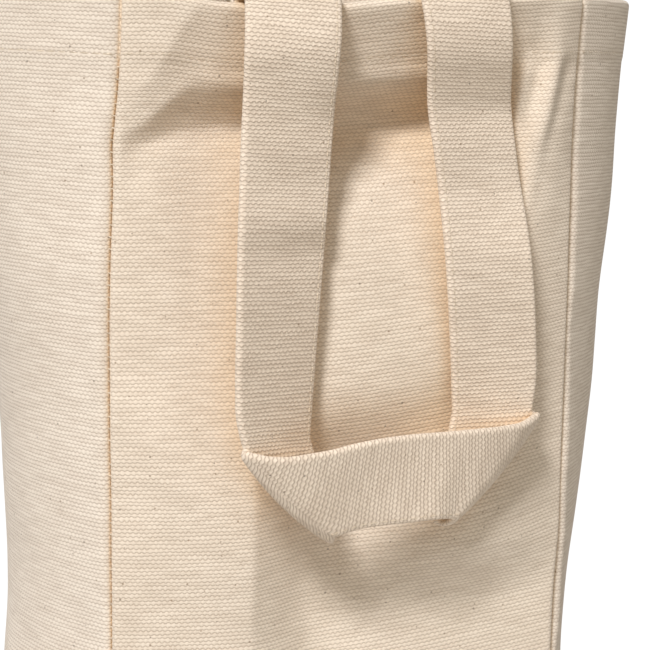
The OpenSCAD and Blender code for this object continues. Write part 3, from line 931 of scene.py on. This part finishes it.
def overlock_rows():
    """Overlocked raw edges of the corner seams and of the seam round the base."""
    rows = []
    for corner in range(4):
        z, root, inward, side = fin_rows(corner, 130)
        for sign in (1, -1):
            middle = at_height(root + inward * (FIN_DEEP - 2.0) + side * sign * 1.02, z)
            rows.append((middle, unit(at_height(inward, 0.3 * sign)), at_height(side * sign)))
        edge = at_height(root + inward * (FIN_DEEP + 0.08), z)
        rows.append(stitched_line(edge, at_height(inward), pitch=2.4))
    path, way, _, _, lean = base_seam_path(2.4)
    height = BASE_SEAM_TOP - 2.2
    shift = np.maximum(lean, -0.2) * (height - BASE_SEAM_FOOT) / BASE_SEAM_H
    for d, out in ((-0.03, -1), (2.03, 1)):
        place = at_height(path + way * (d + shift)[:, None], height)
        rows.append((place, unit(at_height(left_of(way) * 0.3 * out, 1)), at_height(way * out)))
    return rows


def strap_stitches(frames, rows, turned):
    """Stitching along the inner edge of a strap, on both of its faces."""
    x = STRAP_W / 2 - TOPSTITCH_IN
    sewn = []
    for side in (-1, 1):
        line, above = (handle_point(on_strap(frames, x, side * height)[rows], turned)
                       for height in (STRAP_T / 2 - 0.04, STRAP_T / 2 + 1))
        sewn.append(stitched_line(line, above - line, pitch=2.6))
    return sewn


def tack_rows(turned):
    """Crossed box of stitches through each sewn end, seen on the inside of the strap."""
    face, rim = rim_line(turned)
    low, high = HEM_FOOT + 4.5, BAG_H - 3.5
    rows = []
    for left, right in ((LEFT_OUTER[0][1], LEFT_INNER[0][1]), (RIGHT_INNER[0][1], RIGHT_OUTER[0][1])):
        a, b = left + 3, right - 3
        box = [(a, low), (b, low), (b, high), (a, high), (a, low), (b, high), (b, low), (a, high)]
        for p, q in zip(box[:-1], box[1:]):
            line = np.linspace(p, q, 12)
            inside = np.array([face(x, z) for x, z in line]) - (HEM_IN + 0.12 + STRAP_T)
            height = line[:, 1] - HINGE_Z + np.array([rim(x) for x in line[:, 0]])
            shown = handle_point(np.column_stack([line[:, 0], inside, height]), turned)
            facing = np.zeros_like(shown)
            facing[:, 1] = -1 if turned else 1
            rows.append(stitched_line(shown, facing, pitch=2.7))
    return rows


# Materials

def plain_weave_group():
    """Plain weave of thick soft weft over thin warp: height, how proud it stands, each yarn's shade."""
    group, t, given, out = node_group(
        "plain_weave", "ShaderNodeTree",
        [("Place", "Vector"), ("Warp Pitch", "Float", 0.7), ("Weft Pitch", "Float", 1.05),
         ("Slub", "Float", 0.25)],
        [("Height", "Float"), ("Proud", "Float"), ("Yarn", "Float")])
    place = t.vector("MULTIPLY", given["Place"], (1000.0, 1000.0, 0.0))
    x, y, _ = t.split(place)
    # yarns wander and grow thick and thin, slowly along themselves and quickly from one to the next
    long_weft = t.noise(t.vector("MULTIPLY", place, (0.11, 0.62, 0.0)), 1.0)
    long_warp = t.noise(t.vector("MULTIPLY_ADD", place, (0.55, 0.10, 0.0), (31.0, 17.0, 5.0)), 1.0)
    short = t.noise(place, 0.8)
    a = (x + (long_warp - 0.5) * 2.4 * given["Slub"]) / given["Warp Pitch"]
    straight = (y + ((long_weft - 0.5) * 2.6 + (short - 0.5) * 0.7) * given["Slub"]) / given["Weft Pitch"]
    # each weft swells where it floats and is squeezed where it dives, so the rows interlock in scallops
    b = straight - t.math("COSINE", a * math.pi) * t.math("SINE", straight * math.pi) * 0.14
    warp, weft = t.math("ROUND", a), t.math("ROUND", b)
    shade_warp = t.noise(t.join(warp * 7.31, b * 0.11), 1.0, 1.0)
    shade_weft = t.noise(t.join(a * 0.08, weft * 5.77, 9.0), 1.0, 1.0)

    def crest(offset, width):
        across = offset * width
        return t.math("SQRT", t.math("MAXIMUM", 1.0 - across * across, 0.0))

    def wave(along, other):
        return t.math("COSINE", (along + other) * math.pi)

    weft_top = t.math("MULTIPLY_ADD", wave(a, weft), 0.09, crest(b - weft, 2.25 - shade_weft * 0.45) * 0.85)
    warp_top = t.math("MULTIPLY_ADD", wave(b, warp), 0.20, crest(a - warp, 2.2) * 0.36)
    over = t.math("GREATER_THAN", warp_top, weft_top)
    fuzz = t.noise(place, 3.0, 2.0, 0.7)
    uneven = t.math("MULTIPLY_ADD", fuzz - 0.5, 0.5, t.math("MAXIMUM", weft_top, warp_top))
    t.put(out["Height"], uneven)
    # how proud the weave stands, the mask of the cotton's painted shade between yarns
    t.put(out["Proud"], t.ramp(uneven, 0.15, 0.95))
    t.put(out["Yarn"], t.math("MULTIPLY_ADD", over, shade_warp - shade_weft, shade_weft))
    return group


def cotton_and_painted_shade_group():
    """Undyed cotton: warm and cool drifts, slubs, brown seed-husk flecks; painted shade in weave gaps,
    painted warm shade in hollows.
    """
    group, t, given, out = node_group(
        "cotton_and_painted_shade", "ShaderNodeTree",
        [("Place", "Vector"), ("Proud", "Float", 1.0), ("Yarn", "Float", 0.5),
         ("Light", "Color", (0.86, 0.76, 0.62, 1)), ("Deep", "Color", (0.6, 0.46, 0.3, 1)),
         ("Drift", "Float", 0.25), ("Flecks", "Float", 1.0)],
        [("Color", "Color"), ("Roughness", "Float")])
    place = t.vector("MULTIPLY", given["Place"], (1000.0, 1000.0, 0.0))
    wide = t.noise(place, 0.035, 3.0, 0.6)
    fine = t.noise(place, 0.35, 3.0, 0.65)
    color = given["Light"]
    # darker in drifts, in some yarns and in fine patches, and painted shade in the weave's gaps where it does
    # not stand proud
    for share in (t.ramp(wide, 0.35, 0.7) * given["Drift"], t.ramp(given["Yarn"], 0.62, 0.38) * 0.16,
                  t.ramp(fine, 0.52, 0.72) * 0.14, (1.0 - given["Proud"]) * 0.72):
        color = t.mix(share, color, given["Deep"])
    specks = t.new("ShaderNodeTexVoronoi", {"Vector": place, "Scale": 0.24}, feature="F1",
                   voronoi_dimensions="2D")
    chance, wide_or_narrow, pale_or_dark = t.split(Wire(t, specks.outputs["Color"]))
    size = t.math("MULTIPLY_ADD", wide_or_narrow, 0.045, 0.012) + fine * 0.03
    spot = t.math("LESS_THAN", Wire(t, specks.outputs["Distance"]) / size, 1.0)
    fleck = t.math("GREATER_THAN", chance, 0.82) * spot * given["Flecks"]
    husk = t.mix(pale_or_dark, (0.30, 0.18, 0.09, 1), (0.12, 0.09, 0.07, 1))
    spotted = t.mix(fleck * 0.62, color, husk)
    # painted warm shade: colour made warmer and darker where ambient occlusion finds folds and hollows
    open_sky = t.get("AO", "ShaderNodeAmbientOcclusion", {"Distance": 0.022}, samples=4)
    painted_warm_shade = t.vector("MULTIPLY", spotted, (1.0, 0.89, 0.72))
    t.put(out["Color"], t.mix(t.ramp(open_sky, 0.85, 0.35), spotted, painted_warm_shade))
    t.put(out["Roughness"], t.math("MULTIPLY_ADD", fine, 0.14, 0.82, clamp=True))
    return group


def new_material(name):
    """New material, with the builder of its nodes and its shader's inputs."""
    material = bpy.data.materials.new(name)
    material.use_nodes = True
    return material, Nodes(material.node_tree), material.node_tree.nodes["Principled BSDF"].inputs


def canvas(name, light, deep, drift, depth, warp_pitch=0.70, weft_pitch=1.01):
    """Finish of one of the bag's cloths: the same weave and cotton with this cloth's own shade."""
    material, t, shader = new_material(name)
    place = t.get(0, "ShaderNodeUVMap", uv_map="cloth")
    yarns = t.new("ShaderNodeGroup", {"Place": place, "Slub": 0.3, "Warp Pitch": warp_pitch,
                                      "Weft Pitch": weft_pitch}, node_tree=weave)
    height, proud, shade = (Wire(t, yarns.outputs[label]) for label in ("Height", "Proud", "Yarn"))
    fibre = t.new("ShaderNodeGroup", {
        "Place": place, "Proud": proud, "Yarn": shade, "Light": (*light, 1), "Deep": (*deep, 1),
        "Drift": drift, "Flecks": 1.0}, node_tree=cotton)
    relief = t.get("Normal", "ShaderNodeBump", {"Strength": 1.0, "Distance": depth * MM, "Height": height})
    for label, value in (("Base Color", Wire(t, fibre.outputs["Color"])),
                         ("Roughness", Wire(t, fibre.outputs["Roughness"])), ("Normal", relief),
                         ("Sheen Weight", 0.18), ("Sheen Roughness", 0.6), ("Specular IOR Level", 0.15)):
        t.put(shader[label], value)
    return material


def cotton_thread(name, light, deep):
    """Finish of the sewing thread: matt, with a fine twist."""
    material, t, shader = new_material(name)
    place = t.get("Object", "ShaderNodeTexCoord")
    x, y, z = t.split(place)
    twist = t.math("SINE", (x + y + z) * 9000.0)
    shade = t.noise(place, 700.0)
    t.put(shader["Base Color"], t.mix(t.math("MULTIPLY_ADD", twist, 0.2, shade), (*light, 1), (*deep, 1)))
    t.put(shader["Normal"], t.get("Normal", "ShaderNodeBump", {"Distance": 0.00008, "Height": twist}))
    t.put(shader["Roughness"], t.math("MULTIPLY_ADD", shade, 0.2, 0.7))
    t.put(shader["Sheen Weight"], 0.2)
    return material


# Camera, light and floor

def seen_from(azimuth, elevation, roll, distance):
    """Place at a distance in the direction given in degrees, turned to look back."""
    azimuth, elevation, roll = (math.radians(v) for v in (azimuth, elevation, roll))
    return (Matrix.Rotation(azimuth, 4, "Z") @ Matrix.Rotation(math.pi / 2 - elevation, 4, "X")
            @ Matrix.Rotation(roll, 4, "Z") @ Matrix.Translation((0, 0, distance)))


def make_camera():
    """Camera of the photograph: from the left and a little above, close in on the rim and handle."""
    distance, mm_a_pixel, pixels, sensor = 0.520, 0.2545, 650, 36.0
    target = Vector((-8.9, -50.0, 250.0)) * MM
    data = bpy.data.cameras.new("camera")
    data.sensor_width = sensor
    data.lens = sensor * (distance / (mm_a_pixel * MM)) / pixels
    camera = add_object("camera", data)
    camera.matrix_world = Matrix.Translation(target) @ seen_from(-18.25, 8.4, 2.45, distance)
    bpy.context.scene.camera = camera


def make_light(name, azimuth, elevation, spread, strength, color):
    """Soft sunlight-like light from the given side, so that it falls evenly on bag and floor."""
    data = bpy.data.lights.new(name, "SUN")
    data.angle, data.energy, data.color = math.radians(spread), strength, color
    add_object(name, data).matrix_world = seen_from(azimuth, elevation, 0, 1.5)


def white_world(lit_strength):
    """White surroundings to look at, that light the bag less than they show."""
    world = bpy.data.worlds.new("white_studio")
    bpy.context.scene.world = world
    world.use_nodes = True
    t = Nodes(world.node_tree)
    seen = world.node_tree.nodes["Background"]
    t.put(seen.inputs["Color"], (1, 1, 1, 1))
    t.put(seen.inputs["Strength"], 1.05)
    lit = t.get(0, "ShaderNodeBackground", {"Color": (1.0, 0.935, 0.82, 1), "Strength": lit_strength})
    to_camera = t.get("Is Camera Ray", "ShaderNodeLightPath")
    chosen = t.get(0, "ShaderNodeMixShader", (to_camera, lit, Wire(t, seen.outputs[0])))
    t.put(world.node_tree.nodes["World Output"].inputs["Surface"], chosen)


def make_floor(radius):
    """Round pale table top that ends before the photograph's view of what lies behind the bag."""
    rim = [(radius * math.cos(a), radius * math.sin(a), 0) for a in np.linspace(0, 2 * math.pi, 97)[:-1]]
    mesh = bpy.data.meshes.new("studio_floor")
    mesh.from_pydata(rim, [], [tuple(range(len(rim)))])
    floor = add_object("studio_floor", mesh)
    pale, t, shader = new_material("pale_floor")
    t.put(shader["Base Color"], (0.66, 0.66, 0.66, 1))
    t.put(shader["Roughness"], 0.9)
    mesh.materials.append(pale)


bpy.context.scene.view_settings.view_transform = "Standard"
make_camera()
white_world(lit_strength=0.335)
make_light("key_light", azimuth=-42, elevation=46, spread=13, strength=2.85, color=(1.0, 1.0, 1.02))
make_light("front_fill", azimuth=5, elevation=8, spread=70, strength=0.36, color=(1.0, 0.93, 0.82))
make_floor(radius=0.42)

# The bag

weave, cotton, stitching = plain_weave_group(), cotton_and_painted_shade_group(), stitch_tree()
# Of each cloth: its light and its deep colour, the deep one also serving as painted shade between the yarns,
# how much they drift, the depth of its weave in mm
body_canvas = canvas("body_canvas", (0.90, 0.785, 0.655), (0.48, 0.37, 0.27), 0.12, 0.165)
side_canvas = canvas("side_canvas", (0.90, 0.80, 0.685), (0.50, 0.39, 0.30), 0.10, 0.165)
strap_canvas = canvas("strap_canvas", (0.93, 0.80, 0.66), (0.48, 0.36, 0.26), 0.14, 0.24, 0.76, 0.985)
allowance_canvas = canvas("allowance_canvas", (0.84, 0.73, 0.58), (0.55, 0.42, 0.28), 0.3, 0.2)
thread = cotton_thread("sewing_thread", (0.86, 0.76, 0.62), (0.68, 0.55, 0.40))

WALLS = ["front_panel", "right_side_panel", "back_panel", "left_side_panel"]
SEAMS = ["front_left_seam", "front_right_seam", "back_right_seam", "back_left_seam"]
TOPSTITCH = {"length": 2.0, "width": 0.26}


def settle(piece, *nodes, slot, body="bag"):
    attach(piece, body)
    if nodes:
        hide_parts(*nodes)
    return piece


for side, node in enumerate(WALLS):
    wall = make_wall(side, node.replace("panel", "cloth"), side_canvas if side % 2 else body_canvas)
    settle(wall, node, slot="canvas")

settle(make_hem(body_canvas), "rim_hem", slot="canvas")
base = settle(make_base(side_canvas), "base_panel", slot="canvas")
settle(make_base_seam(allowance_canvas), "base_seam", slot="seam_edge")
for corner, node in enumerate(SEAMS):
    settle(make_fin(corner, node + "_allowance", allowance_canvas), node, slot="seam_edge")

settle(sew("hem_stitching", hem_stitches(), length=2.5, width=0.28), slot="seam_edge")
settle(sew("corner_seam_stitching", seam_stitches(), length=1.5, width=0.34), slot="seam_edge")
settle(sew("overlock_thread", overlock_rows(), length=4.4, width=0.5), slot="seam_edge")

for name, turned in (("front_handle", False), ("back_handle", True)):
    frames = strap_frames(turned)
    count = len(frames[0])
    swinging = slice(END_ROWS - 1, count - END_ROWS + 1)
    hanging = strap_mesh(frames, swinging, name + "_strap", turned, strap_canvas)
    settle(hanging, name, slot="strap_canvas", body=name)
    settle(sew(name + "_stitching", strap_stitches(frames, swinging, turned), **TOPSTITCH),
           slot="strap_canvas", body=name)
    for end, rows in (("left", slice(0, END_ROWS)), ("right", slice(count - 1, count - END_ROWS - 1, -1))):
        node = name.replace("handle", ("left" if (end == "left") != turned else "right") + "_handle_end")
        start, stop = bend_plane(frames, rows, turned)
        strap = strap_mesh(frames, rows, node + "_strap", turned, strap_canvas)
        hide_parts(node)
        seam = sew(node + "_stitching", strap_stitches(frames, rows, turned), **TOPSTITCH)
        for piece in (strap, seam):
            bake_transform(piece)
    settle(sew(name + "_box_stitching", tack_rows(turned), length=2.3, width=0.45), slot="strap_canvas")
